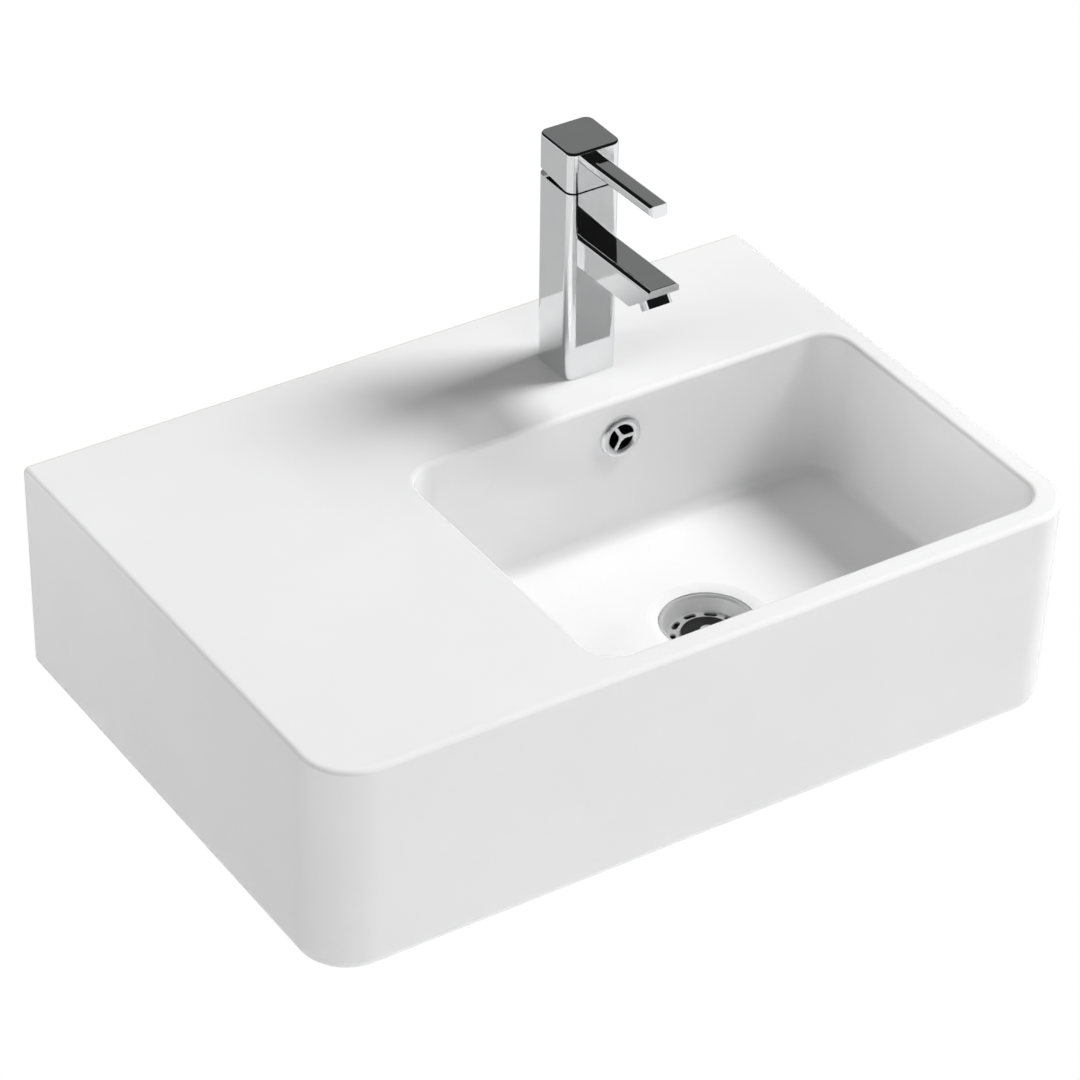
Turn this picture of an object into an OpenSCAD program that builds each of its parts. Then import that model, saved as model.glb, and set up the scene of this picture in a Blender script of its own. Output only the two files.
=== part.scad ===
// Wall-hung basin with a side shelf, a deck-mounted lever tap and a sieve waste.
// Millimetres. X runs to the right along the wall, Y towards the wall, Z up.
// The origin is the middle of the two wall bolts, on the rear face.

/* [Basin body] */
// Width along the wall
basin_w = 600; // [560:5:680]
// Projection from the wall to the front
basin_d = 420; // [400:5:470]
// Height of the ceramic body
basin_h = 174; // [168:1:200]
// Top surface above the wall bolts
fixing_drop = 70; // [60:1:80]
// Inward lean of the front face, in degrees
front_lean = 3; // [0:0.5:4]
// Radius of the two front corners seen from above
corner_r = 38; // [30:1:46]
// Rounding of the outer top edge
rim_round = 4.5; // [3:0.5:6]
// Rounding of the outer bottom edge
foot_round = 13; // [8:1:16]
// Thickness of the outer walls
wall_t = 11; // [9:0.5:14]
// Thickness of the shelf and tap deck
deck_t = 12; // [10:0.5:15]
// Distance between the two wall bolts
bolt_spacing = 280; // [240:5:300]
// Radius of the wall bolt holes
bolt_hole_r = 8; // [6:0.5:10]

/* [Bowl] */
// Opening of the bowl along the wall
bowl_w = 364; // [320:2:390]
// Opening of the bowl from back to front
bowl_l = 257; // [240:1:280]
// Rim at the right of the bowl
right_rim = 17; // [15:1:24]
// Rim in front of the bowl
front_rim = 20; // [18:1:26]
// Depth of the bowl at its walls
bowl_depth = 119; // [105:1:124]
// Upright corners of the bowl
bowl_corner_r = 24; // [18:1:34]
// Rounding between the bowl's walls and floor
bowl_floor_round = 9; // [7:1:14]
// Rounding of the bowl's top edge
bowl_edge_round = 4; // [2:0.5:6]
// Thickness of the bowl's walls and floor
bowl_skin = 11; // [9:0.5:13]
// Fall of the floor to the waste
waste_fall = 4; // [2:0.5:6]
// Waste centre in front of the bowl's back wall
waste_setback = 117; // [105:1:125]
// Overflow centre below the top surface
overflow_drop = 32; // [31:0.5:38]
// Width of the water way inside the overflow duct
duct_w = 28; // [24:1:30]
// Depth of the water way inside the overflow duct
duct_gap = 11; // [8:0.5:12]
// Wall of the overflow duct
duct_wall = 6.5; // [5:0.5:7]

/* [Waste] */
// Radius of the waste cup's flange
flange_r = 35; // [34:0.5:38]
// Depth of the sieve below the low point of the bowl's floor
sieve_drop = 11.5; // [11:0.25:12.5]
// Number of slots in the sieve
sieve_slots = 10; // [8:1:10]
// Rise of the sieve's middle above its slots
disc_rise = 2.2; // [1.5:0.1:3]
// Radius of the hole through the ceramic
waste_hole_r = 23; // [22.5:0.25:24]
// Length of the ceramic boss below the bowl's floor
boss_l = 33; // [31:1:36]
// Outer radius of the tail for the trap
tail_r = 20.95; // [20:0.05:21.5]
// Length of the tail
tail_l = 60; // [50:1:80]

/* [Tap body] */
// Tap axis behind the bowl's back wall
tap_behind = 59.5; // [57:0.5:64]
// Side of the square tap body
tap_w = 43; // [42:0.5:46]
// Upright edges of the tap body
tap_edge_r = 7; // [5:0.5:8]
// Height of the body above the deck
body_h = 153; // [150:1:165]
// Radius of the tap hole in the deck
tap_hole_r = 17.5; // [17:0.25:18.5]
// Width of the spout
spout_w = 25; // [24:0.5:28]
// Reach of the spout in front of the body
spout_reach = 87.5; // [84:0.5:104]
// Top of the spout where it leaves the body
spout_top = 116.5; // [114:0.5:117]
// Height of the spout where it leaves the body
spout_h = 23.5; // [22:0.5:25]
// Rise of the spout's top face, in degrees
spout_rise = 1.9; // [1:0.1:2.5]
// Rise of the spout's underside, in degrees
under_rise = 1.6; // [1:0.1:2.5]
// Slope of the cut under the spout's end, in degrees
nose_slope = 37.5; // [35:0.5:39]
// Height of the spout's upright end face
nose_h = 6.2; // [5.6:0.1:6.6]
// Rounding over the spout's end face
nose_r = 0.6; // [0.4:0.1:1.2]
// Rounding of the spout's upper edges
spout_edge_r = 3.4; // [2.4:0.2:4]
// Radius of the supply threads
inlet_r = 4.5; // [4:0.1:5]

/* [Handle] */
// Height of the cap at its front face
cap_h = 31.6; // [31:0.2:36]
// Gap between the body and the front of the cap
cap_gap = 1.4; // [1.2:0.1:2]
// Rounding of the cap's top edge
cap_edge_r = 2.2; // [1:0.2:2.6]
// Slope of the cap's lower edge up to the back, in degrees
cap_slope = 6; // [6:0.5:8]
// Wall of the cap
cap_wall = 3; // [2.5:0.25:3.5]
// Width of the lever bar
bar_w = 14.6; // [13:0.2:16]
// Thickness of the lever bar
bar_t = 9.5; // [8:0.5:10]
// Length of the lever bar in front of the cap
bar_l = 80.5; // [75:0.5:95]
// Top of the lever bar below the cap's top
bar_drop = 7.2; // [6:0.2:8]
// Rise of the lever bar, in degrees
bar_rise = 1.8; // [0:0.1:3]
// Rounding of the lever bar's long edges
bar_edge_r = 3.7; // [2.5:0.2:3.7]
// Rounding of the lever bar's end seen from above
bar_end_r = 4.5; // [2:0.5:6]
// Side of the square stem
stem_w = 8; // [7:0.25:8.5]

/* [Cartridge] */
// Outer radius of the cartridge
cart_r = 17.4; // [17:0.1:17.6]
// Height of the cartridge housing
cart_h = 28; // [27:0.5:29]
// Seat of the cartridge below the body's top
cart_drop = 35; // [34.5:0.25:35.5]
// Radius of the water ports beside the centre
port_r = 2.8; // [2.5:0.1:3]
// Radius of the turret's neck
neck_r = 12; // [11.5:0.1:12.2]
// Arm from the pivot down to the disc carrier
stem_arm = 9; // [8.5:0.1:9.5]

/* [Fits] */
// Clearance of turning and sliding pieces
run_gap = 0.06; // [0.03:0.01:0.09]
// Clearance of pieces that are pushed in
slip_gap = 0.2; // [0.1:0.05:0.3]

/* [Hidden] */
$fn = 64;

// Overlap that lets a cut pass cleanly through a face
cut = 1;
china = [0.95, 0.95, 0.94];
bright = [0.8, 0.81, 0.83];
raw_brass = [0.78, 0.66, 0.36];
rubber_black = [0.12, 0.12, 0.12];
white_plastic = [0.9, 0.9, 0.88];
disc_white = [0.86, 0.87, 0.85];

// How far the edge roundings stand outside the walls, so that they cross them cleanly
edge_out = 0.06;

// Places in the basin
bowl_x = basin_w/2 - right_rim - bowl_w/2;
bowl_front = front_rim - basin_d;
bowl_back = bowl_front + bowl_l;
bowl_y = (bowl_front + bowl_back)/2;
waste_y = bowl_back - waste_setback;
tap_y = bowl_back + tap_behind;
floor_low = bowl_depth + waste_fall;
floor_under = floor_low + bowl_skin;
boss_r = flange_r + 1;
duct_out = bowl_skin + duct_gap + duct_wall;
overflow_r = 11.2;

// Heights in the waste, below the low point of the bowl's floor
seat_drop = 4;
washer_t = 1.5;
flange_under = seat_drop - washer_t;
cup_skin = 1;
sieve_t = 1.6;
disc_top = disc_rise - sieve_drop;
bottom_washer_t = 3;
tail_flange_t = 4;
tail_wall = 2.4;
screw_r = 3;
tail_top = -boss_l - bottom_washer_t;
bridge_t = 7;

// Heights in the tap, above the deck
cart_z = body_h - cart_drop;
cart_top = cart_z + cart_h;
pivot_up = 23;
pivot_z = cart_z + pivot_up;
ball_z = pivot_z - stem_arm;
base_t = 4.5;
fixed_t = 3.5;
disc_film = 0.05;
moving_z = cart_z + base_t + fixed_t + disc_film;
moving_t = 3.5;
carrier_z = moving_z + moving_t;
carrier_t = ball_z + 2.5 - carrier_z;
turret_z = carrier_z + carrier_t + 0.5;
flange_top = pivot_z + 0.9;
neck_up = 10;
neck_top = pivot_z + neck_up;
chamber_r = cart_r - 1.9;
pin_r = 1.5;
ball_r = 2.3;
arm_r = 1.7;
cap_top = body_h + cap_gap + cap_h;
cap_roof = 4;
stem_room = 11;
stem_top = cap_top - cap_roof - stem_room;
screw_z = stem_top - 5;
grub_r = 2.5;
cover_r = 3.4;
cover_t = 1.5;
cover_in = 0.5;
port_x = 8.8;
port_y = -3;
outlet_y = 7;
outlet_r = 3.3;

// Places under the tap deck
stud_r = 4;
stud_y = 12.5;
stud_depth = 13;
inlet_x = 10;
inlet_y = -1;
inlet_l = 14;
pad_t = 3;
plate_t = 2.5;
nut_t = 8;
shoe_r = 25;
seal_mid = (tap_hole_r + tap_w/2)/2;
seal_half = 1.1;
seal_t = 2;

// The spout's end: centre of its rounding, foot of its end face, then the slanted cut's heel and
// middle. The straight edges meet the rounding a little inside its circle and cross it cleanly
nose_y = -tap_w/2 - spout_reach + nose_r;
nose_z = spout_top + (-nose_y - tap_w/2)*tan(spout_rise) - nose_r/cos(spout_rise);
meet_r = nose_r - 0.02;
cut_y = nose_y - meet_r;
cut_z = nose_z + nose_r - nose_h;
heel_run = (cut_z - (spout_top - spout_h) + (tap_w/2 + cut_y)*tan(under_rise))
           /(sin(nose_slope) - cos(nose_slope)*tan(under_rise));
heel_y = cut_y + heel_run*cos(nose_slope);
heel_z = cut_z - heel_run*sin(nose_slope);
aerator_y = (cut_y + heel_y)/2;
aerator_z = (cut_z + heel_z)/2;
aerator_r = 11.2;
aerator_out = 6.5;
thread_r = 9.8;
thread_l = 5.5;
insert_r = 8;
seal_w = 1.2;

// Frames that the pieces are drawn in

module at_deck() {
  translate([0, 0, fixing_drop]) children();
}

module at_waste() {
  translate([bowl_x, waste_y, fixing_drop - floor_low]) children();
}

module at_tap() {
  translate([bowl_x, tap_y, fixing_drop]) children();
}

// Z points out of the spout's slanted cut
module at_aerator() {
  at_tap() translate([0, aerator_y, aerator_z]) rotate([180 - nose_slope, 0, 0]) children();
}

// Shapes used by several pieces

module ring(outer, inner, low, high) {
  translate([0, 0, low]) difference() {
    cylinder(r = outer, h = high - low);
    translate([0, 0, -cut]) cylinder(r = inner, h = high - low + 2*cut);
  }
}

module round_rect(w, l, r) {
  square([w - 2*r, l], center = true);
  square([w, l - 2*r], center = true);
  for (x = [-1, 1], y = [-1, 1])
    translate([x*(w/2 - r), y*(l/2 - r)]) circle(r);
}

// What a rounding takes off an edge at the origin, with the material at -X and -Y
module edge_cut(r) {
  difference() {
    translate([-r, -r]) square(r + cut);
    translate([-r, -r]) circle(r);
  }
}

// Basin

// Outline of the body seen from above, with its front edge on the X axis
module body_plan(inset) {
  w = basin_w - 2*inset;
  r = corner_r - inset;
  translate([0, inset]) {
    translate([-w/2, r]) square([w, basin_d]);
    translate([-w/2 + r, 0]) square([w - 2*r, r + cut]);
    for (side = [-1, 1])
      translate([side*(w/2 - r), r]) circle(r);
  }
}

// The body between two levels below the deck, each wall moved in by the inset
module leaning_block(inset, rear, high, low) {
  intersection() {
    translate([0, -basin_d, 0]) rotate([front_lean, 0, 0])
      translate([0, 0, -1.2*basin_h]) linear_extrude(1.4*basin_h) body_plan(inset);
    translate([-basin_w, -basin_d - cut, -low])
      cube([2*basin_w, basin_d + cut - rear, low - high]);
  }
}

// Rounds the sides, the front and the two corners of the body's top edge
module outer_edge_cut(r, front) {
  side_l = -front - corner_r;
  for (side = [0, 1]) mirror([side, 0, 0]) {
    translate([basin_w/2 + edge_out, cut, 0]) rotate([90, 0, 0])
      linear_extrude(side_l + cut) edge_cut(r);
    translate([basin_w/2 - corner_r, front + corner_r, 0]) rotate([0, 0, -90])
      rotate_extrude(angle = 90) translate([corner_r + edge_out, 0]) edge_cut(r);
  }
  translate([corner_r - basin_w/2, front - edge_out, 0]) rotate([90, 0, 90])
    linear_extrude(basin_w - 2*corner_r) mirror([1, 0]) edge_cut(r);
}

// Section of the bowl with rounded lower corners
module bowl_section(w) {
  r = bowl_floor_round;
  translate([-w/2, r - bowl_depth]) square([w, bowl_depth - r + cut]);
  translate([r - w/2, -bowl_depth]) square([w - 2*r, bowl_depth + cut]);
  for (side = [-1, 1])
    translate([side*(w/2 - r), r - bowl_depth]) circle(r);
}

// Two crossing sections joined by a turned section in each corner
module bowl_space() {
  r = bowl_corner_r;
  translate([bowl_x, bowl_y, 0]) {
    translate([0, bowl_l/2 - r, 0]) rotate([90, 0, 0])
      linear_extrude(bowl_l - 2*r) bowl_section(bowl_w);
    translate([r - bowl_w/2, 0, 0]) rotate([90, 0, 90])
      linear_extrude(bowl_w - 2*r) bowl_section(bowl_l);
    for (x = [-1, 1], y = [-1, 1])
      translate([x*(bowl_w/2 - r), y*(bowl_l/2 - r), 0]) rotate_extrude() intersection() {
        bowl_section(2*r);
        translate([0, -bowl_depth]) square([r, bowl_depth + cut]);
      }
  }
}

// One side and one corner of the bowl's top edge, along +X from the middle of a side
module bowl_edge_side(w, l) {
  r = bowl_corner_r;
  translate([r - w/2, -l/2, 0]) rotate([90, 0, 90])
    linear_extrude(w - 2*r) edge_cut(bowl_edge_round);
  translate([w/2 - r, r - l/2, 0]) rotate([0, 0, -90])
    rotate_extrude(angle = 90) translate([r, 0]) mirror([1, 0]) edge_cut(bowl_edge_round);
}

module bowl_edge_cut() {
  translate([bowl_x, bowl_y, 0]) for (turn = [0, 180]) rotate([0, 0, turn]) {
    bowl_edge_side(bowl_w, bowl_l);
    rotate([0, 0, 90]) bowl_edge_side(bowl_l, bowl_w);
  }
}

// Floor that falls to the waste, rolls over into a shallow dish and ends at the flange's seat.
// The roll meets the floor at a slope a little steeper than the floor's own
module floor_fall() {
  wall_room = 5;
  fall_r = waste_setback - bowl_floor_round - wall_room;
  dish_in = flange_r + 1;
  rim_slope = 4.5;
  dish_slope = 22;
  roll_up = waste_fall/2;
  roll_r = roll_up/(cos(rim_slope) - cos(dish_slope));
  roll_mid = dish_in + roll_r*sin(dish_slope);
  dish_out = roll_mid - roll_r*sin(rim_slope);
  fall = (waste_fall - roll_up)/(fall_r - dish_out);
  rotate_extrude() polygon([
    [0, roll_up - fall*dish_out],
    [fall_r, waste_fall],
    [fall_r, waste_fall + 0.01],
    [0, waste_fall + 0.01]
  ]);
  rotate_extrude() difference() {
    square([dish_out + 0.5, roll_up + 0.5]);
    translate([roll_mid, -roll_r*cos(dish_slope)]) circle(roll_r);
  }
}

// Seat for the flange, funnel round the cup, shoulder that drains inwards, and the hole
module waste_space() {
  seat_in = flange_r - 2.2;
  funnel_in = flange_r - 4;
  funnel_low = sieve_drop + 1;
  shoulder_h = 5;
  translate([bowl_x, waste_y, -floor_low]) {
    floor_fall();
    translate([0, 0, -seat_drop]) cylinder(r = flange_r + 0.6, h = seat_drop + cut);
    translate([0, 0, -funnel_low])
      cylinder(r1 = funnel_in, r2 = seat_in, h = funnel_low - seat_drop + 0.01);
    translate([0, 0, -funnel_low - shoulder_h])
      cylinder(r1 = waste_hole_r, r2 = funnel_in, h = shoulder_h);
    translate([0, 0, -boss_l - cut]) cylinder(r = waste_hole_r, h = boss_l);
  }
}

module duct_block() {
  w = duct_w + 2*duct_wall;
  translate([bowl_x - w/2, bowl_back, -floor_low - boss_l])
    cube([w, duct_out, floor_low + boss_l]);
  translate([bowl_x - w/2, waste_y, -floor_low - boss_l])
    cube([w, bowl_back - waste_y + duct_out, boss_l]);
}

module duct_space() {
  foot = -floor_low - boss_l + duct_wall;
  back = bowl_back + bowl_skin + duct_gap;
  translate([bowl_x - duct_w/2, bowl_back + bowl_skin, foot])
    cube([duct_w, duct_gap, -deck_t - duct_wall - foot]);
  translate([bowl_x - duct_w/2, waste_y, foot])
    cube([duct_w, back - waste_y, duct_gap]);
  translate([bowl_x, back - cut, -overflow_drop]) rotate([90, 0, 0])
    cylinder(r = overflow_r, h = bowl_skin + duct_gap);
}

// The walls that stay round the bowl inside the open underside
module bowl_jacket() {
  w = bowl_w + 2*bowl_skin;
  l = bowl_l + 2*bowl_skin;
  translate([bowl_x, bowl_y, -floor_under]) linear_extrude(floor_under) {
    round_rect(w, l, bowl_corner_r + bowl_skin);
    translate([-w/2, -l]) square([basin_w, l]);
    translate([0, -l]) square([basin_w, 1.5*l]);
  }
}

module underside_space() {
  difference() {
    leaning_block(wall_t, wall_t, deck_t, basin_h + cut);
    bowl_jacket();
    duct_block();
    translate([bowl_x, waste_y, -floor_low - boss_l]) cylinder(r = boss_r, h = boss_l);
  }
}

module basin() {
  foot_front = (basin_h - foot_round)*tan(front_lean) - basin_d;
  color(china) at_deck() difference() {
    leaning_block(0, 0, 0, basin_h);
    outer_edge_cut(rim_round, -basin_d);
    translate([0, 0, -basin_h]) mirror([0, 0, 1]) outer_edge_cut(foot_round, foot_front);
    underside_space();
    bowl_space();
    bowl_edge_cut();
    waste_space();
    duct_space();
    translate([bowl_x, tap_y, -deck_t - cut])
      cylinder(r = tap_hole_r, h = deck_t + 2*cut);
    for (side = [-1, 1])
      translate([side*bolt_spacing/2, cut, -fixing_drop]) rotate([90, 0, 0])
        cylinder(r = bolt_hole_r, h = wall_t + 2*cut);
  }
}

// Domed ring on the bowl's back wall with three spokes and a sleeve in the overflow hole
module overflow_ring() {
  sleeve_r = overflow_r - slip_gap;
  inner_r = sleeve_r - 1.1;
  dome_r = 3.45;
  spoke_w = 2.8;
  spoke_t = 1.8;
  spoke_z = 0.3;
  hub_r = 2.6;
  color(bright) translate([bowl_x, bowl_back, fixing_drop - overflow_drop])
    rotate([90, 0, 0]) {
      rotate_extrude() {
        intersection() {
          translate([inner_r + dome_r, 0]) circle(dome_r);
          square(2*overflow_r);
        }
        translate([inner_r, 2 - bowl_skin]) square([sleeve_r - inner_r, bowl_skin - 2]);
      }
      translate([0, 0, spoke_z - 0.1]) cylinder(r = hub_r, h = spoke_t + 0.2);
      for (turn = [0, 120, 240]) rotate([0, 0, turn])
        translate([hub_r/2, -spoke_w/2, spoke_z]) cube([inner_r + 1.5 - hub_r/2, spoke_w, spoke_t]);
    }
}

// Waste

// Slot along part of a circle, cut through the sieve. Its round ends are a little narrower than
// the slot, so that they cross it cleanly
module sieve_slot(r, w, turn, h) {
  end_r = w/2 - 0.02;
  rotate_extrude(angle = turn) translate([r - w/2, 0]) square([w, h]);
  for (end = [0, turn]) rotate([0, 0, end]) translate([r, 0, 0]) cylinder(r = end_r, h = h);
}

// Pressed cup: thin lip, steep wall, flat ring of slots and a raised middle
module waste_cup() {
  lip_in = flange_r - 1.6;
  neck_r = flange_r - 3;
  floor_r = flange_r - 7;
  disc_in = 15.5;
  disc_r = flange_r - disc_in;
  slot_in = 10.25;
  slot_r = flange_r - slot_in;
  slot_w = 4.5;
  slot_turn = 12.6;
  first_turn = 8.7;
  color(bright) at_waste() difference() {
    rotate_extrude() polygon([
      [0, disc_top],
      [disc_r - 0.9, disc_top],
      [disc_r - 0.25, disc_top - 0.3],
      [disc_r, disc_top - 0.9],
      [disc_r + 0.5, -sieve_drop],
      [floor_r - 0.3, -sieve_drop],
      [floor_r, 0.3 - sieve_drop],
      [neck_r, -2],
      [lip_in - 0.4, -1],
      [lip_in + 0.2, -0.7],
      [flange_r - 0.5, -0.7],
      [flange_r, -1.2],
      [flange_r, -flange_under],
      [neck_r + cup_skin - 0.2, -flange_under],
      [floor_r + cup_skin, -sieve_drop - 0.6],
      [floor_r + 0.2, -sieve_drop - sieve_t],
      [disc_r - 1, -sieve_drop - sieve_t],
      [disc_r - 1.5, disc_top - sieve_t],
      [0, disc_top - sieve_t]
    ]);
    translate([0, 0, disc_top - sieve_t - cut]) cylinder(r = screw_r, h = sieve_t + 2*cut);
    for (i = [0:sieve_slots - 1])
      rotate([0, 0, first_turn + i*360/sieve_slots]) translate([0, 0, -sieve_drop - sieve_t - cut])
        sieve_slot(slot_r, slot_w, slot_turn, sieve_t + 2*cut);
  }
}

module waste_screw() {
  head_r = 5.5;
  head_t = 2.4;
  foot = tail_top - tail_flange_t - bridge_t;
  color(bright) at_waste() difference() {
    union() {
      translate([0, 0, disc_top]) cylinder(r = head_r, h = head_t);
      translate([0, 0, foot]) cylinder(r = screw_r, h = disc_top - foot);
    }
    translate([-head_r - cut, -0.8, disc_top + head_t - 1.2]) cube([2*head_r + 2*cut, 1.6, 2]);
  }
}

module waste_top_washer() {
  color(rubber_black) at_waste()
    ring(flange_r - 0.1, flange_r - 1.8, -seat_drop, -flange_under);
}

module waste_bottom_washer() {
  color(rubber_black) at_waste()
    ring(boss_r - 4, waste_hole_r + 0.5, tail_top, -boss_l);
}

// Lower body with a bridge for the centre screw and the tail
module waste_body() {
  inner_r = tail_r - tail_wall;
  foot = tail_top - tail_flange_t - tail_l;
  color(bright) at_waste() {
    difference() {
      union() {
        translate([0, 0, tail_top - tail_flange_t]) cylinder(r = boss_r - 3, h = tail_flange_t);
        translate([0, 0, foot]) cylinder(r = tail_r, h = tail_l);
      }
      translate([0, 0, foot - cut]) cylinder(r = inner_r, h = tail_l + tail_flange_t + 2*cut);
    }
    difference() {
      translate([-inner_r - 0.5, -screw_r - 2.5, tail_top - tail_flange_t - bridge_t])
        cube([2*inner_r + 1, 2*screw_r + 5, bridge_t]);
      translate([0, 0, foot]) cylinder(r = screw_r, h = tail_l + cut);
    }
  }
}

// Tap body

// Side view of the spout, from inside the body to its end face
module spout_profile() {
  root = tap_edge_r - tap_w/2;
  polygon([
    [root, spout_top - tap_edge_r*tan(spout_rise)],
    [nose_y + meet_r*sin(spout_rise), nose_z + meet_r*cos(spout_rise)],
    [nose_y, nose_z],
    [cut_y, nose_z],
    [cut_y, cut_z],
    [heel_y, heel_z],
    [root, spout_top - spout_h - tap_edge_r*tan(under_rise)]
  ]);
  translate([nose_y, nose_z]) circle(nose_r);
}

// The side view carried across the width, with its two upper edges rounded
module spout() {
  r = spout_edge_r;
  intersection() {
    translate([-spout_w, 0, 0]) rotate([90, 0, 90])
      linear_extrude(2*spout_w) spout_profile();
    translate([0, -tap_w/2, spout_top]) rotate([-spout_rise, 0, 0])
      translate([0, tap_edge_r, 0]) rotate([90, 0, 0]) linear_extrude(2*spout_reach) {
        translate([r - spout_w/2, -spout_w]) square([spout_w - 2*r, spout_w]);
        translate([-spout_w/2, -2*spout_w]) square([spout_w, 2*spout_w - r]);
        for (side = [-1, 1])
          translate([side*(spout_w/2 - r), -r]) circle(r);
      }
  }
}

module tap_body() {
  color(bright) {
    difference() {
      at_tap() union() {
        linear_extrude(body_h) round_rect(tap_w, tap_w, tap_edge_r);
        spout();
      }
      at_tap() {
        translate([0, 0, cart_z]) cylinder(r = cart_r + 0.1, h = cart_drop + cut);
        translate([0, 0, cart_top]) cylinder(r = cart_r + 1.1, h = cart_drop);
        water_ways();
        translate([0, stud_y, -cut]) cylinder(r = stud_r, h = stud_depth + cut);
        ring(seal_mid + seal_half + 0.1, seal_mid - seal_half - 0.1, -cut, seal_t);
      }
      at_aerator() translate([0, 0, -thread_l - seal_w]) cylinder(r = thread_r, h = thread_l + 3);
    }
  }
}

// Two supply channels, their ports and the mixed water's way to the aerator
module water_ways() {
  way_r = 4.5;
  way_z = spout_top - spout_h/2;
  channel_r = 7;
  channel_top = way_z - way_r - 4;
  way_run = -(aerator_y + 4) + outlet_y;
  for (side = [-1, 1]) {
    translate([side*inlet_x, inlet_y, -cut]) cylinder(r = inlet_r, h = inlet_l + 2*cut);
    translate([side*inlet_x, inlet_y, inlet_l]) cylinder(r = channel_r, h = channel_top - inlet_l);
    translate([side*port_x, port_y, channel_top - cut])
      cylinder(r = port_r, h = cart_z - channel_top + 2*cut);
  }
  translate([0, outlet_y, way_z]) cylinder(r = outlet_r, h = cart_z - way_z + cut);
  translate([0, outlet_y, way_z]) rotate([90 - spout_rise, 0, 0]) cylinder(r = way_r, h = way_run);
}

module tap_base_seal() {
  color(rubber_black) at_tap() ring(seal_mid + seal_half, seal_mid - seal_half, 0, seal_t);
}

// Fixing under the deck

module fixing_stud() {
  spare_l = 10;
  foot = -deck_t - pad_t - plate_t - nut_t - spare_l;
  color(bright) at_tap() translate([0, stud_y, foot])
    cylinder(r = stud_r, h = stud_depth - foot);
}

// Horseshoe open to the front, so that it slides in round the supply hoses
module horseshoe(t, low) {
  slot_half = inlet_x + 5.5;
  slot_back = stud_y - stud_r - 2.5;
  slot_r = 7;
  translate([0, 0, low]) difference() {
    cylinder(r = shoe_r, h = t);
    translate([0, 0, -cut]) linear_extrude(t + 2*cut) {
      translate([-slot_half, -shoe_r - cut]) square([2*slot_half, shoe_r + cut + slot_back - slot_r]);
      translate([slot_r - slot_half, -cut]) square([2*(slot_half - slot_r), slot_back + cut]);
      for (side = [-1, 1])
        translate([side*(slot_half - slot_r), slot_back - slot_r]) circle(slot_r);
      translate([0, stud_y]) circle(stud_r);
    }
  }
}

module horseshoe_rubber() {
  color(rubber_black) at_tap() horseshoe(pad_t, -deck_t - pad_t);
}

module horseshoe_plate() {
  color(bright) at_tap() horseshoe(plate_t, -deck_t - pad_t - plate_t);
}

module fixing_nut() {
  color(raw_brass) at_tap()
    translate([0, stud_y, -deck_t - pad_t - plate_t - nut_t]) difference() {
      cylinder(r = 7.5, h = nut_t, $fn = 6);
      translate([0, 0, -cut]) cylinder(r = stud_r, h = nut_t + 2*cut);
    }
}

// Cartridge

// The ports of the base, the fixed disc and the seals
module port_holes(grow, low, high) {
  for (side = [-1, 1])
    translate([side*port_x, port_y, low]) cylinder(r = port_r + grow, h = high - low);
  translate([0, outlet_y, low]) cylinder(r = outlet_r + grow, h = high - low);
}

module cartridge_housing() {
  color(white_plastic) at_tap() difference() {
    translate([0, 0, cart_z]) cylinder(r = cart_r, h = cart_h);
    translate([0, 0, cart_z - cut]) cylinder(r = chamber_r, h = flange_top + run_gap - cart_z + cut);
    translate([0, 0, cart_z]) cylinder(r = neck_r + run_gap, h = cart_h + cut);
  }
}

module cartridge_base() {
  key_x = chamber_r - 1.6;
  color(white_plastic) at_tap() {
    difference() {
      translate([0, 0, cart_z]) cylinder(r = chamber_r, h = base_t);
      port_holes(0, cart_z - cut, cart_z + base_t + cut);
      port_holes(1.2, cart_z - cut, cart_z + seal_t);
    }
    for (side = [-1, 1]) translate([side*key_x, 0, cart_z + base_t])
      cylinder(r = 1, h = fixed_t - 0.5);
  }
}

module port_seals() {
  color(rubber_black) at_tap() difference() {
    port_holes(1.2, cart_z, cart_z + seal_t);
    port_holes(0, cart_z - cut, cart_z + seal_t + cut);
  }
}

module fixed_disc() {
  low = cart_z + base_t;
  key_x = chamber_r - 1.6;
  color(disc_white) at_tap() difference() {
    translate([0, 0, low]) cylinder(r = chamber_r - 0.8, h = fixed_t);
    port_holes(0, low - cut, low + fixed_t + cut);
    for (side = [-1, 1]) translate([side*key_x, 0, low - cut])
      cylinder(r = 1.1, h = fixed_t + 2*cut);
  }
}

// Disc with the mixing pocket in its underside
module moving_disc() {
  pocket_half = 9;
  pocket_l = 4;
  color(disc_white) at_tap() difference() {
    translate([0, 0, moving_z]) cylinder(r = neck_r, h = moving_t);
    translate([0, 0, moving_z - cut]) linear_extrude(cut + 2) {
      translate([0, outlet_y - 0.5]) circle(3.6);
      translate([-pocket_half, 0.4]) square([2*pocket_half, pocket_l]);
    }
  }
}

// Carrier with two flats between the turret's rails and a hole for the ball
module disc_carrier() {
  flat_x = neck_r - 3;
  color(white_plastic) at_tap() intersection() {
    ring(neck_r, ball_r + run_gap, carrier_z, carrier_z + carrier_t);
    translate([-flat_x, -neck_r, carrier_z]) cube([2*flat_x, 2*neck_r, carrier_t]);
  }
}

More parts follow.
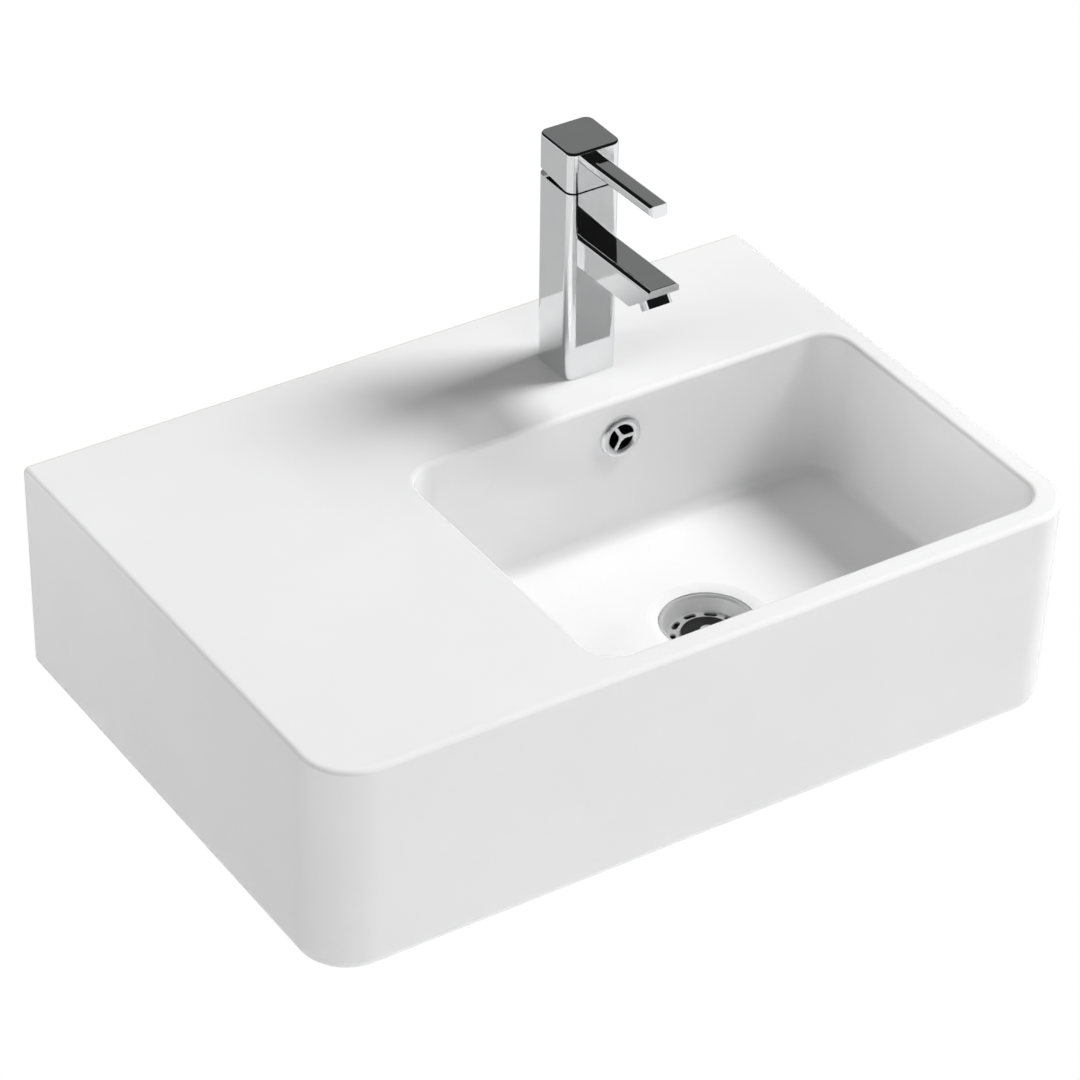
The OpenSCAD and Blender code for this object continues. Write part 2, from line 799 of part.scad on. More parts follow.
module turret() {
  rail_x = neck_r - 3 + run_gap;
  slot = stem_w + 2*run_gap;
  slot_half = 9;
  rail_half = 5;
  color(white_plastic) at_tap() difference() {
    union() {
      translate([0, 0, turret_z]) cylinder(r = chamber_r - run_gap, h = flange_top - turret_z);
      translate([0, 0, turret_z]) cylinder(r = neck_r, h = neck_top - turret_z);
      for (side = [0, 1]) mirror([side, 0, 0])
        translate([rail_x, -rail_half, carrier_z + 0.5])
          cube([chamber_r - 1.2 - rail_x, 2*rail_half, turret_z - carrier_z]);
    }
    translate([-slot/2, -slot_half, turret_z - cut])
      cube([slot, 2*slot_half, neck_top - turret_z + 2*cut]);
    translate([-neck_r, 0, pivot_z]) rotate([0, 90, 0]) cylinder(r = pin_r, h = 2*neck_r);
  }
}

module pivot_pin() {
  pin_l = 2*neck_r - 1.5;
  color(bright) at_tap() translate([-pin_l/2, 0, pivot_z]) rotate([0, 90, 0])
    cylinder(r = pin_r, h = pin_l);
}

// Square stem that rocks on the pin and pushes the carrier with its ball
module lever_stem() {
  hub_r = stem_w/2 + 0.8;
  color(bright) at_tap() difference() {
    union() {
      translate([-stem_w/2, 0, pivot_z]) rotate([0, 90, 0]) cylinder(r = hub_r, h = stem_w);
      translate([-stem_w/2, -stem_w/2, pivot_z]) cube([stem_w, stem_w, stem_top - pivot_z]);
      translate([0, 0, ball_z]) cylinder(r = arm_r, h = stem_arm);
      translate([0, 0, ball_z]) sphere(r = ball_r);
    }
    translate([-stem_w, 0, pivot_z]) rotate([0, 90, 0])
      cylinder(r = pin_r + run_gap, h = 2*stem_w);
  }
}

module cartridge_nut() {
  collar_r = cart_r - 1.9;
  color(raw_brass) at_tap() difference() {
    union() {
      translate([0, 0, cart_top]) cylinder(r = cart_r + 1.1, h = body_h - cart_top - 1);
      translate([0, 0, cart_top]) cylinder(r = collar_r, h = body_h - cart_top);
    }
    translate([0, 0, cart_top - cut]) cylinder(r = neck_r + 0.6, h = cart_drop);
    for (turn = [0, 90]) rotate([0, 0, turn])
      translate([-cart_r - 2, -1.5, body_h - 2]) cube([2*cart_r + 4, 3, 3]);
  }
}

// Handle

// Space inside the cap: open below, closed by the roof
module cap_inside() {
  w = tap_w - 2*cap_wall;
  translate([0, 0, body_h - cut]) linear_extrude(cap_top - cap_roof - body_h + cut)
    round_rect(w, w, tap_edge_r - cap_wall);
}

// Rib that takes the stem in its front end and the grub screw from behind
module stem_socket() {
  half = stem_w/2 + 3.5;
  foot = neck_top + 5;
  back = tap_w/2 - cap_wall + 0.5;
  translate([-half, -half, foot]) cube([2*half, 2*half, cap_top - cap_roof + cut - foot]);
  translate([-half, 0, screw_z - 5]) cube([2*half, back, cap_top - cap_roof + cut - screw_z + 5]);
}

// Bar with rounded long edges and a rounded end, rising to the front
module lever_bar() {
  root = tap_w/2 - cap_wall + 0.5;
  reach = bar_l + tap_w/2 - root;
  translate([0, -root, cap_top - bar_drop]) rotate([-bar_rise, 0, 0]) intersection() {
    translate([0, 0, -bar_t - cut]) linear_extrude(bar_t + 2*cut) {
      translate([-bar_w/2, bar_end_r - reach]) square([bar_w, reach - bar_end_r]);
      translate([bar_end_r - bar_w/2, -reach]) square([bar_w - 2*bar_end_r, reach]);
      for (side = [-1, 1])
        translate([side*(bar_w/2 - bar_end_r), bar_end_r - reach]) circle(bar_end_r);
    }
    translate([0, 0, -bar_t/2]) rotate([90, 0, 0])
      linear_extrude(reach) round_rect(bar_w, bar_t, bar_edge_r);
  }
}

// Rounds the upper edges of a square block with upright rounded corners and its top at Z = 0
module top_edge_cut(w, corner, r) {
  for (turn = [0:90:270]) rotate([0, 0, turn]) {
    translate([w/2 + edge_out, w/2 - corner, 0]) rotate([90, 0, 0])
      linear_extrude(w - 2*corner) edge_cut(r);
    translate([w/2 - corner, w/2 - corner, 0])
      rotate_extrude(angle = 90) translate([corner + edge_out, 0]) edge_cut(r);
  }
}

module handle() {
  socket = stem_w/2 + 0.05;
  back = tap_w/2;
  foot_cut = 20;
  color(bright) at_tap() difference() {
    union() {
      difference() {
        translate([0, 0, body_h + cap_gap]) linear_extrude(cap_h)
          round_rect(tap_w, tap_w, tap_edge_r);
        translate([0, 0, cap_top]) top_edge_cut(tap_w, tap_edge_r, cap_edge_r);
        cap_inside();
        translate([0, -back, body_h + cap_gap]) rotate([cap_slope, 0, 0])
          translate([-tap_w, -tap_w, -foot_cut]) cube([2*tap_w, 3*tap_w, foot_cut]);
      }
      stem_socket();
      lever_bar();
    }
    translate([-socket, -socket, neck_top]) cube([2*socket, 2*socket, stem_top + 0.2 - neck_top]);
    translate([0, 0, screw_z]) rotate([-90, 0, 0]) {
      cylinder(r = grub_r, h = tap_w);
      translate([0, 0, back - cover_t - cover_in]) cylinder(r = cover_r, h = cover_t + cover_in + cut);
    }
  }
}

module grub_screw() {
  reach = 9;
  color(bright) at_tap() translate([0, stem_w/2, screw_z]) rotate([-90, 0, 0]) difference() {
    cylinder(r = grub_r, h = reach);
    translate([0, 0, reach - 2.5]) cylinder(r = 1.4, h = 3, $fn = 6);
  }
}

module screw_cover() {
  color(bright) at_tap() translate([0, tap_w/2 - cover_t - cover_in, screw_z]) rotate([-90, 0, 0])
    cylinder(r = cover_r, h = cover_t);
}

// Aerator, drawn along the axis of the slanted cut

module aerator_housing() {
  color(bright) at_aerator() difference() {
    union() {
      cylinder(r = aerator_r, h = aerator_out);
      translate([0, 0, -thread_l]) cylinder(r = thread_r, h = thread_l + 0.5);
    }
    translate([0, 0, -thread_l - cut]) cylinder(r = insert_r, h = thread_l + aerator_out + 2*cut);
  }
}

// Round insert with a grid of square water ways
module aerator_insert() {
  pitch = 3.2;
  color(white_plastic) at_aerator() difference() {
    translate([0, 0, -thread_l]) cylinder(r = insert_r, h = thread_l + aerator_out - 1.5);
    for (i = [-2:2], j = [-2:2])
      if (norm([i, j])*pitch < insert_r - 2)
        translate([(i - 0.4)*pitch, (j - 0.4)*pitch, -thread_l - cut])
          cube([0.8*pitch, 0.8*pitch, thread_l + aerator_out + 2*cut]);
  }
}

module aerator_washer() {
  color(rubber_black) at_aerator() ring(thread_r, insert_r - 1.5, -thread_l - seal_w, -thread_l);
}

basin();
overflow_ring();
waste_cup();
waste_screw();
waste_top_washer();
waste_bottom_washer();
waste_body();
tap_body();
tap_base_seal();
fixing_stud();
horseshoe_rubber();
horseshoe_plate();
fixing_nut();
cartridge_housing();
cartridge_base();
port_seals();
fixed_disc();
moving_disc();
disc_carrier();
turret();
pivot_pin();
lever_stem();
cartridge_nut();
handle();
grub_screw();
screw_cover();
aerator_housing();
aerator_insert();
aerator_washer();
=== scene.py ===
from math import cos, pi, radians, sin

import bpy
from mathutils import Matrix, Vector


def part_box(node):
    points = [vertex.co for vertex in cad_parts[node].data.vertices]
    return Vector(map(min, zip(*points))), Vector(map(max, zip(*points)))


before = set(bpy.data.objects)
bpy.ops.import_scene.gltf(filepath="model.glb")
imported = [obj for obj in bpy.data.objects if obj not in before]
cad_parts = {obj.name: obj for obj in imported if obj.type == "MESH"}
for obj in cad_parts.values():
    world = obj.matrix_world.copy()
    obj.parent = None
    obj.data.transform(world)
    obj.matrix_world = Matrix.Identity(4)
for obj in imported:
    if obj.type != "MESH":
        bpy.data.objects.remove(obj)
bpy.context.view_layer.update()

bpy.ops.object.select_all(action="DESELECT")
scene = bpy.context.scene
scene.view_settings.view_transform = "Standard"

# Camera. It stands to the front left of the basin and looks down at it through a long lens. The
# turn goes from straight ahead to the right, and the drop is how far it looks down.
camera_place = Vector((-1.4281, -2.4154, 1.8667))
camera_turn, camera_drop, camera_roll = radians(32.7578), radians(35.0382), radians(0.723)
lens_mm, sensor_mm = 153.727, 36

ahead = Vector((sin(camera_turn) * cos(camera_drop), cos(camera_turn) * cos(camera_drop),
                -sin(camera_drop)))
level = Vector((cos(camera_turn), -sin(camera_turn), 0))
upward = level.cross(ahead)
camera_right = cos(camera_roll) * level + sin(camera_roll) * upward
camera_up = cos(camera_roll) * upward - sin(camera_roll) * level
camera_axes = Matrix((camera_right, camera_up, -ahead)).transposed().to_4x4()
bpy.ops.object.camera_add()
camera = bpy.context.object
camera.name = "camera"
camera.data.sensor_width = sensor_mm
camera.data.lens = lens_mm
camera.matrix_world = Matrix.Translation(camera_place) @ camera_axes
scene.camera = camera

# Studio. A white surround for the camera. The metal mirrors a dark room with one grey wall
# behind the basin, and every other ray finds a weak even light.
below = (0, 0, -1)
behind_and_above = (0.443, 0.689, 0.574)
even_light, ground_light, wall_light = 0.03, 0.95, 0.19

world = bpy.data.worlds.new("studio")
scene.world = world
world.use_nodes = True
room = world.node_tree
for node in list(room.nodes):
    room.nodes.remove(node)


def room_node(kind, **settings):
    node = room.nodes.new(kind)
    for name, value in settings.items():
        setattr(node, name, value)
    return node


def room_light(way, low, high, dark, light):
    """Light that rises from dark to light as a ray turns towards way. low and high are cosines."""
    along = room_node("ShaderNodeVectorMath", operation="DOT_PRODUCT")
    room.links.new(heading, along.inputs[0])
    along.inputs[1].default_value = way
    rise = room_node("ShaderNodeMapRange", interpolation_type="SMOOTHSTEP")
    room.links.new(along.outputs["Value"], rise.inputs["Value"])
    for name, value in {"From Min": low, "From Max": high, "To Min": dark, "To Max": light}.items():
        rise.inputs[name].default_value = value
    return rise.outputs["Result"]


def choose(ray, others, chosen):
    """The shader chosen for the rays of one kind, and the shader others for all other rays."""
    mix = room_node("ShaderNodeMixShader")
    for number, source in enumerate((rays[ray], others.outputs[0], chosen.outputs[0])):
        room.links.new(source, mix.inputs[number])
    return mix


rays = room_node("ShaderNodeLightPath").outputs
heading = room_node("ShaderNodeTexCoord").outputs["Generated"]
ground = room_light(below, low=-0.06, high=0.02, dark=0.01, light=ground_light)
grey_wall = room_light(behind_and_above, low=0.80, high=0.93, dark=0.0, light=wall_light)
together = room_node("ShaderNodeMath", operation="ADD")
room.links.new(ground, together.inputs[0])
room.links.new(grey_wall, together.inputs[1])
even, mirrored, white = [room_node("ShaderNodeBackground") for number in range(3)]
for background in (even, mirrored, white):
    background.inputs["Color"].default_value = (1, 1, 1, 1)
even.inputs["Strength"].default_value = even_light
room.links.new(together.outputs[0], mirrored.inputs["Strength"])
surround = choose("Is Camera Ray", choose("Is Glossy Ray", even, mirrored), white)
room_out = room_node("ShaderNodeOutputWorld")
room.links.new(surround.outputs[0], room_out.inputs["Surface"])

# Lamps. One key light at the right throws the tap's shadow along the deck. Broad low lamps fill
# the front, the left and the underside.
lamps_aim = Vector((0, -0.2, 0))


def lamp(name, turn, height, size, power, away=2.4):
    """A round lamp aimed at the basin, in degrees, metres and watts. turn goes from the front (0)
    to the right (90)."""
    turn, height = radians(turn), radians(height)
    way = Vector((sin(turn) * cos(height), -cos(turn) * cos(height), sin(height)))
    bpy.ops.object.light_add(type="AREA", location=lamps_aim + way * away)
    light = bpy.context.object
    light.name = name
    light.rotation_euler = way.to_track_quat("Z", "Y").to_euler()
    light.data.shape = "DISK"
    light.data.size = size
    light.data.energy = power
    light.visible_camera = False
    light.visible_glossy = False


lamp("key", turn=84, height=48, size=1.4, power=123, away=3.6)
lamp("front_fill", turn=-4, height=14, size=1.4, power=16)
lamp("left_fill", turn=-95, height=34, size=1.4, power=14)
lamp("left_back", turn=-118, height=16, size=0.8, power=4.6, away=1.4)
lamp("right_fill", turn=75, height=20, size=1.4, power=2.5)
lamp("front_low", turn=0, height=-15, size=1.4, power=14)

# Floor. A plain pale studio floor at the foot of the wall, below the wall bolts. It looks white,
# and the metal sees it a little darker towards the back.
floor_w, floor_middle = 12, (0, -0.2, -0.85)
floor_grey = (0.8, 0.8, 0.8, 1)
darker_from, darker_to, back_glow = 0.1, 1.2, 0.55


class Finish:
    """A material and the nodes that its look is made of."""

    def __init__(self, name):
        self.material = bpy.data.materials.new(name)
        self.material.use_nodes = True
        self.tree = self.material.node_tree
        self.shader = self.tree.nodes["Principled BSDF"]
        self.place = self.node("ShaderNodeTexCoord").outputs["Object"]

    def node(self, kind, inputs=(), **settings):
        node = self.tree.nodes.new(kind)
        for name, value in settings.items():
            setattr(node, name, value)
        for name, value in dict(inputs).items():
            self.put(value, node.inputs[name])
        return node

    def put(self, value, socket):
        if isinstance(value, bpy.types.NodeSocket):
            self.tree.links.new(value, socket)
        else:
            socket.default_value = value

    def set(self, **sockets):
        for name, value in sockets.items():
            self.put(value, self.shader.inputs[name.replace("_", " ")])

    def math(self, operation, first, second=0.0):
        return self.node("ShaderNodeMath", {0: first, 1: second}, operation=operation).outputs[0]

    def vector_math(self, operation, first, second=(0, 0, 0)):
        return self.node("ShaderNodeVectorMath", {0: first, 1: second}, operation=operation).outputs

    def axes(self, middle=(0, 0, 0)):
        """X, Y and Z from middle."""
        place = self.vector_math("SUBTRACT", self.place, middle)["Vector"]
        return self.node("ShaderNodeSeparateXYZ", {"Vector": place}).outputs

    def rise(self, value, low, high, dark=0.0, light=1.0):
        """Rises smoothly from dark to light while value goes from low to high."""
        inputs = {"Value": value, "From Min": low, "From Max": high,
                  "To Min": dark, "To Max": light}
        node = self.node("ShaderNodeMapRange", inputs, interpolation_type="SMOOTHSTEP")
        return node.outputs["Result"]

    def noise(self, scale, detail=3.0, stretch=(1, 1, 1)):
        """Cloudy pattern. A larger scale has smaller clouds."""
        place = self.node("ShaderNodeMapping", {"Vector": self.place, "Scale": stretch})
        inputs = {"Vector": place.outputs["Vector"], "Scale": scale, "Detail": detail}
        return self.node("ShaderNodeTexNoise", inputs).outputs["Fac"]

    def wander(self, scale, low=0.0, high=1.0):
        """Wanders between low and high, in clouds."""
        return self.rise(self.noise(scale), 0.3, 0.7, low, high)

    def blend(self, fac, first, second):
        """From the first colour to the second. Sockets 6 and 7 of a mix node are its colours."""
        node = self.node("ShaderNodeMix", data_type="RGBA")
        for value, socket in ((fac, 0), (first, 6), (second, 7)):
            self.put(value + (1,) if isinstance(value, tuple) else value, node.inputs[socket])
        return node.outputs[2]

    def bump(self, *layers):
        """Layers of height from coarse to fine, each with its depth in metres."""
        normal = None
        for height, depth in layers:
            inputs = {"Height": height, "Strength": 1.0, "Distance": depth}
            if normal:
                inputs["Normal"] = normal
            normal = self.node("ShaderNodeBump", inputs).outputs["Normal"]
        self.put(normal, self.shader.inputs["Normal"])


bpy.ops.mesh.primitive_plane_add(size=floor_w, location=floor_middle)
floor = bpy.context.object
floor.name = "floor"
plain_floor = Finish("studio_floor")
plain_floor.set(Base_Color=floor_grey, Roughness=0.9)
floor_rays = plain_floor.node("ShaderNodeLightPath").outputs
mirrored_glow = plain_floor.rise(plain_floor.axes()["Y"], darker_from, darker_to, 1.0, back_glow)
floor_glow = plain_floor.math("MAXIMUM", floor_rays["Is Camera Ray"], mirrored_glow)
seen_floor = plain_floor.node("ShaderNodeEmission", {"Color": (1, 1, 1, 1), "Strength": floor_glow})
seen = plain_floor.math("MAXIMUM", floor_rays["Is Camera Ray"], floor_rays["Is Glossy Ray"])
floor_mix = plain_floor.node("ShaderNodeMixShader", {0: seen, 1: plain_floor.shader.outputs[0],
                                                     2: seen_floor.outputs[0]})
plain_floor.put(floor_mix.outputs[0], plain_floor.tree.nodes["Material Output"].inputs["Surface"])
floor.data.materials.append(plain_floor.material)

# Basin. One slip-cast body of vitreous china, sprayed with an uneven white glaze and fired once.
# The face on the wall and the foot are wiped bare before the firing. In the waste hole, the
# overflow duct and the channel between them the china is dull, and its shade is painted on as
# near-black colour.
micron = 0.000001
fittings_x = 0.101
waste_middle = (fittings_x, -0.26, 0)
way_half_w = 0.0145
duct_y, duct_half_l, duct_z, duct_half_h = -0.1315, 0.011, -0.0145, 0.0665
channel_y, channel_half_l, channel_z, channel_half_h = -0.195, 0.075, -0.074, 0.006
hole_r, hole_z, hole_half_h = 0.0335, -0.072, 0.0137
back_glazed_y, back_bare_y = -0.0014, -0.0006
foot_bare_z, foot_glazed_z = -0.1034, -0.1030
bare_roughness = 0.6


def grey(level):
    return (level, level, level)


def off_axis(finish, middle, across=(1, 1, 0)):
    """Distance from the axis through middle, which is upright unless across says otherwise."""
    place = finish.vector_math("SUBTRACT", finish.place, middle)["Vector"]
    flat = finish.vector_math("MULTIPLY", place, across)["Vector"]
    return finish.vector_math("LENGTH", flat)["Value"]


def near(finish, value, middle, half):
    """1 where value is no further than half from middle, and 0 elsewhere."""
    distance = finish.math("ABSOLUTE", finish.math("SUBTRACT", value, middle))
    return finish.math("LESS_THAN", distance, half)


def dress(node, finish):
    """Gives a CAD node its finish."""
    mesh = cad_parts[node].data
    mesh.materials.clear()
    mesh.materials.append(finish.material)


glaze = Finish("white_glaze")
basin_axes = glaze.axes()
duct = glaze.math("MULTIPLY", near(glaze, basin_axes["Y"], duct_y, duct_half_l),
                  near(glaze, basin_axes["Z"], duct_z, duct_half_h))
channel = glaze.math("MULTIPLY", near(glaze, basin_axes["Y"], channel_y, channel_half_l),
                     near(glaze, basin_axes["Z"], channel_z, channel_half_h))
water_way = glaze.math("MULTIPLY", near(glaze, basin_axes["X"], fittings_x, way_half_w),
                       glaze.math("MAXIMUM", duct, channel))
in_hole = glaze.math("LESS_THAN", off_axis(glaze, waste_middle), hole_r)
waste_hole = glaze.math("MULTIPLY", in_hole, near(glaze, basin_axes["Z"], hole_z, hole_half_h))
# The waste hole, the overflow duct and the channel: these hollows get painted shade and a dull
# finish.
painted_shade_hollows = glaze.math("MAXIMUM", waste_hole, water_way)
bare_back = glaze.rise(basin_axes["Y"], back_glazed_y, back_bare_y)
bare_foot = glaze.rise(basin_axes["Z"], foot_bare_z, foot_glazed_z, 1.0, 0.0)
bare = glaze.math("MAXIMUM", bare_back, bare_foot)
glaze_tint = glaze.blend(glaze.rise(glaze.noise(7), 0.35, 0.65), grey(0.935), grey(0.955))
bare_tint = glaze.blend(glaze.noise(60), (0.73, 0.715, 0.68), (0.80, 0.785, 0.75))
# Near-black painted shade for the hollows.
painted_shade_tint = glaze.blend(glaze.noise(90), grey(0.05), grey(0.09))
dull = glaze.math("MULTIPLY", glaze.math("MAXIMUM", bare, painted_shade_hollows), bare_roughness)
glaze.set(Base_Color=glaze.blend(painted_shade_hollows, glaze.blend(bare, glaze_tint, bare_tint), painted_shade_tint),
          Roughness=glaze.math("ADD", glaze.wander(26, 0.06, 0.11), dull), IOR=1.52)
glaze.bump((glaze.noise(11), 300 * micron), (glaze.noise(260, 2.0), 25 * micron),
           (glaze.noise(1500, 2.0), 3 * micron))
dress("basin", glaze)

# Overflow ring. A domed moulding with three spokes, plated with satin chrome, pushed into the
# overflow hole in the bowl's back wall by its sleeve. Its bore behind the spokes is painted
# near-black, as painted shade.
ring_low, ring_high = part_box("overflow_ring")
ring_middle = tuple((ring_low + ring_high) / 2)
bore_from, bore_to = ring_low.y + 0.0016, ring_low.y + 0.0022
bore_r, bore_edge_r = 0.0112, 0.0116

ring_plate = Finish("overflow_ring_chrome")
behind_spokes = ring_plate.rise(ring_plate.axes()["Y"], bore_from, bore_to)
in_ring = ring_plate.rise(off_axis(ring_plate, ring_middle, across=(1, 0, 1)), bore_r, bore_edge_r,
                          1.0, 0.0)
ring_silver = ring_plate.blend(ring_plate.noise(55), (0.80, 0.81, 0.82), (0.84, 0.843, 0.845))
# The bore behind the spokes, where near-black painted shade goes.
ring_bore_painted_shade = ring_plate.math("MULTIPLY", behind_spokes, in_ring)
ring_plate.set(Base_Color=ring_plate.blend(ring_bore_painted_shade, ring_silver, grey(0.04)), Metallic=0.8,
               Roughness=ring_plate.wander(90, 0.26, 0.34))
ring_plate.bump((ring_plate.noise(20), 50 * micron), (ring_plate.noise(900), 3 * micron))
dress("overflow_ring", ring_plate)

# Waste cup and its screw. The cup is pressed from brass sheet, pierced with ten slots, spun to
# a satin face and plated. Its raised middle is painted near-black, as a painted dark reflection.
# The slotted screw pulls it down on to the waste body.
raised_r, raised_edge_r = 0.0192, 0.0199
spun_pitch, screw_pitch, thread_depth = 0.0006, 0.00125, 700 * micron
thread_top, screw_head_z = -0.0666, -0.0661


def turned_rings(finish, middle, pitch):
    """Fine rings round an upright axis, as a lathe or a spinning mop leaves them."""
    return finish.math("SINE", finish.math("MULTIPLY", off_axis(finish, middle), 2 * pi / pitch))


def thread(finish, middle, pitch):
    """Height of a screw thread round an upright axis through middle."""
    axes = finish.axes(middle)
    turn = finish.math("DIVIDE", finish.math("ARCTAN2", axes["Y"], axes["X"]), 2 * pi)
    rise = finish.math("ADD", finish.math("DIVIDE", axes["Z"], pitch), turn)
    return finish.math("PINGPONG", rise, 0.5)


cup_plate = Finish("waste_cup_chrome")
# The raised middle: painted near-black as a painted reflection of the dark room, and fully
# metallic.
raised_middle_painted_dark = cup_plate.rise(off_axis(cup_plate, waste_middle), raised_r, raised_edge_r, 1.0, 0.0)
cup_chrome = cup_plate.blend(cup_plate.noise(60), (0.80, 0.803, 0.805), grey(0.84))
cup_plate.set(Base_Color=cup_plate.blend(raised_middle_painted_dark, cup_chrome, (0.07, 0.07, 0.072)),
              Metallic=cup_plate.rise(raised_middle_painted_dark, 0.0, 1.0, 0.6, 1.0),
              Roughness=cup_plate.wander(140, 0.40, 0.48))
cup_plate.bump((cup_plate.noise(45), 30 * micron),
               (turned_rings(cup_plate, waste_middle, spun_pitch), 2 * micron))
dress("waste_cup", cup_plate)

screw_plate = Finish("waste_screw_chrome")
below_head = screw_plate.rise(screw_plate.axes()["Z"], thread_top, screw_head_z, 1.0, 0.0)
screw_thread = screw_plate.math("MULTIPLY", thread(screw_plate, waste_middle, screw_pitch),
                                below_head)
screw_chrome = screw_plate.blend(screw_plate.noise(80), (0.78, 0.79, 0.80), (0.83, 0.835, 0.84))
screw_plate.set(Base_Color=screw_chrome, Metallic=1.0,
                Roughness=screw_plate.wander(200, 0.08, 0.16))
screw_plate.bump((screw_thread, thread_depth), (screw_plate.noise(900), 4 * micron))
dress("waste_screw", screw_plate)


# Waste seals. Two rings of black rubber: one under the cup's lip, one under the china boss.
# They are moulded, and are pressed flat when the screw is tightened.
def black_rubber(name):
    """Moulded rubber, matt, with a little bloom."""
    rubber = Finish(name)
    bloom = rubber.rise(rubber.noise(220), 0.35, 0.75)
    rubber.set(Base_Color=rubber.blend(bloom, (0.010, 0.010, 0.011), (0.024, 0.024, 0.025)),
               Roughness=rubber.wander(500, 0.55, 0.75), IOR=1.45)
    rubber.bump((rubber.noise(300), 60 * micron), (rubber.noise(1800), 10 * micron))
    return rubber


waste_rubber = black_rubber("waste_seal_rubber")
dress("waste_top_washer", waste_rubber)
dress("waste_bottom_washer", waste_rubber)

# Waste body. A brass casting turned on a lathe and plated: a flange that presses on the boss
# from below, a bridge for the screw and the tail for the trap.
lathe_pitch = 0.0009

tail_plate = Finish("waste_body_chrome")
tail_chrome = tail_plate.blend(tail_plate.noise(50), (0.78, 0.79, 0.80), (0.84, 0.843, 0.845))
tail_plate.set(Base_Color=tail_chrome, Metallic=1.0, Roughness=tail_plate.wander(120, 0.08, 0.18))
tail_turns = tail_plate.math("MULTIPLY", tail_plate.axes()["Z"], 2 * pi / lathe_pitch)
lathe_marks = tail_plate.math("SINE", tail_turns)
tail_plate.bump((tail_plate.noise(30), 100 * micron), (lathe_marks, 2 * micron))
dress("waste_body", tail_plate)


# Tap body. Cast brass, ground flat on its faces, mopped and chrome-plated, with the spout
# cast on. It stands on the deck on a rubber ring that sits in a groove.
def chrome_plate(name, wave):
    """Polished and chrome-plated metal. wave is how deep the polishing mop has left it uneven."""
    plate = Finish(name)
    plate.set(Base_Color=plate.blend(plate.wander(55), (0.815, 0.825, 0.835), (0.84, 0.843, 0.845)),
              Metallic=1.0, Roughness=plate.wander(90, 0.035, 0.07))
    plate.bump((plate.noise(20), wave), (plate.noise(900), 3 * micron))
    return plate


dress("tap_body", chrome_plate("tap_body_chrome", wave=80 * micron))
dress("tap_base_seal", black_rubber("tap_seal_rubber"))

# Tap fixing. A zinc-plated steel stud, a horseshoe pad of rubber, a horseshoe plate of zinc-
# plated steel and a hexagon nut of brass hold the tap from under the deck.
stud_middle = (fittings_x, -0.071, 0)
stud_pitch, nut_pitch = 0.00125, 0.0004


def zinc_plate(name):
    """Bright zinc, spangled, with a faint yellow and blue bloom."""
    zinc = Finish(name)
    spangle = zinc.rise(zinc.noise(160, 2.0), 0.35, 0.65)
    silver = zinc.blend(spangle, (0.50, 0.515, 0.54), (0.62, 0.625, 0.63))
    bloom = zinc.rise(zinc.noise(40), 0.45, 0.75)
    zinc.set(Base_Color=zinc.blend(bloom, silver, (0.62, 0.58, 0.47)), Metallic=1.0,
             Roughness=zinc.wander(240, 0.24, 0.42))
    return zinc


def turned_brass(name, middle, pitch):
    """Brass straight from the lathe, with its feed marks and a little tarnish."""
    brass = Finish(name)
    tarnish = brass.rise(brass.noise(45), 0.4, 0.75)
    brass.set(Base_Color=brass.blend(tarnish, (0.71, 0.52, 0.22), (0.52, 0.35, 0.14)),
              Metallic=1.0, Roughness=brass.wander(150, 0.20, 0.36))
    brass.bump((brass.noise(80), 40 * micron), (turned_rings(brass, middle, pitch), 4 * micron))
    return brass


stud_zinc = zinc_plate("stud_zinc")
stud_zinc.bump((thread(stud_zinc, stud_middle, stud_pitch), thread_depth),
               (stud_zinc.noise(1200), 6 * micron))
dress("fixing_stud", stud_zinc)
dress("horseshoe_rubber", black_rubber("horseshoe_rubber_pad"))
plate_zinc = zinc_plate("horseshoe_zinc")
plate_zinc.bump((plate_zinc.noise(60), 80 * micron), (plate_zinc.noise(1200), 8 * micron))
dress("horseshoe_plate", plate_zinc)
dress("fixing_nut", turned_brass("fixing_nut_brass", stud_middle, nut_pitch))


# Cartridge shell. The housing, the base with its two keys and the turret are moulded from
# glass-filled white plastic, and the disc carrier too. They close round the two discs.
def white_moulding(name, light=(0.76, 0.76, 0.74), dark=(0.68, 0.68, 0.66)):
    """Moulded plastic with flow marks and a fine eroded texture."""
    plastic = Finish(name)
    flow = plastic.rise(plastic.noise(50, stretch=(1, 1, 0.3)), 0.35, 0.7)
    plastic.set(Base_Color=plastic.blend(flow, light, dark),
                Roughness=plastic.wander(400, 0.36, 0.52), IOR=1.48)
    plastic.bump((plastic.noise(70), 50 * micron), (plastic.noise(2200), 12 * micron))
    return plastic


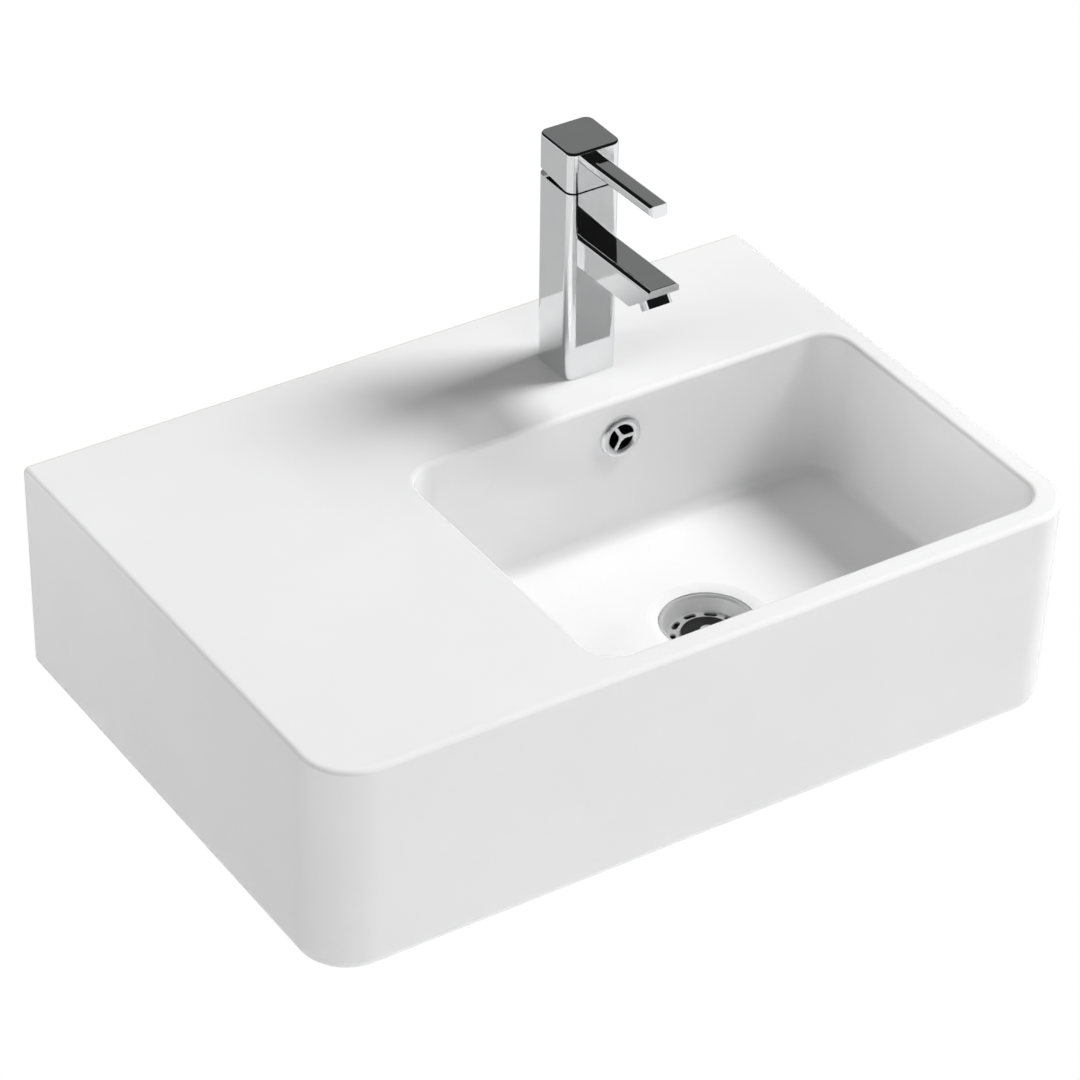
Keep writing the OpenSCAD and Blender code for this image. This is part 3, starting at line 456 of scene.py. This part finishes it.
dress("cartridge_housing", white_moulding("cartridge_housing_plastic"))
dress("cartridge_base", white_moulding("cartridge_base_plastic", light=(0.70, 0.71, 0.72),
                                       dark=(0.64, 0.65, 0.66)))
dress("turret", white_moulding("turret_plastic", light=(0.72, 0.70, 0.64), dark=(0.66, 0.64, 0.58)))
dress("disc_carrier", white_moulding("disc_carrier_plastic", light=(0.60, 0.66, 0.72),
                                     dark=(0.54, 0.60, 0.66)))
dress("port_seals", black_rubber("port_seal_rubber"))

# Valve discs. Two discs of sintered alumina, lapped so flat that they seal by touch. The lower
# has the ports, and the upper has the mixing pocket and slides on it.
alumina = Finish("lapped_alumina")
alumina_speck = alumina.rise(alumina.noise(900, 2.0), 0.55, 0.75)
alumina.set(Base_Color=alumina.blend(alumina_speck, (0.74, 0.735, 0.71), (0.66, 0.65, 0.62)),
            Roughness=alumina.wander(120, 0.16, 0.3), IOR=1.76)
alumina.bump((alumina.noise(2500), 4 * micron))
dress("fixed_disc", alumina)
dress("moving_disc", alumina)

# Pivot pin and stem. The stem is a square brass bar with a ball at its foot, and rocks on a
# ground steel pin.
tap_middle = (fittings_x, -0.0835, 0)
stem_pitch = 0.0005

pin_steel = zinc_plate("pin_steel")
pin_steel.bump((pin_steel.noise(1500, stretch=(0.05, 1, 1)), 6 * micron))
dress("pivot_pin", pin_steel)
dress("lever_stem", turned_brass("stem_brass", tap_middle, stem_pitch))

# Cartridge nut. A ring nut turned from brass bar, slotted for its key, screwed into the body
# above the housing.
dress("cartridge_nut", turned_brass("cartridge_nut_brass", tap_middle, nut_pitch))

# Handle. A zinc casting, square like the body, with the lever bar cast on, mopped and chrome-
# plated. The grub screw holds it on the stem, and a plated plug covers the screw.
dress("handle", chrome_plate("handle_chrome", wave=80 * micron))
grub_zinc = zinc_plate("grub_screw_steel")
grub_zinc.bump((grub_zinc.noise(1200), 6 * micron))
dress("grub_screw", grub_zinc)
dress("screw_cover", chrome_plate("screw_cover_chrome", wave=30 * micron))

# Aerator. A plated brass ring screwed into the spout's slanted end, with a flat rubber seal
# and a plastic insert whose square ways straighten the jet.
dress("aerator_housing", chrome_plate("aerator_chrome", wave=40 * micron))
dress("aerator_insert", white_moulding("aerator_insert_plastic", light=(0.66, 0.67, 0.68),
                                       dark=(0.58, 0.59, 0.60)))
dress("aerator_washer", black_rubber("aerator_seal_rubber"))
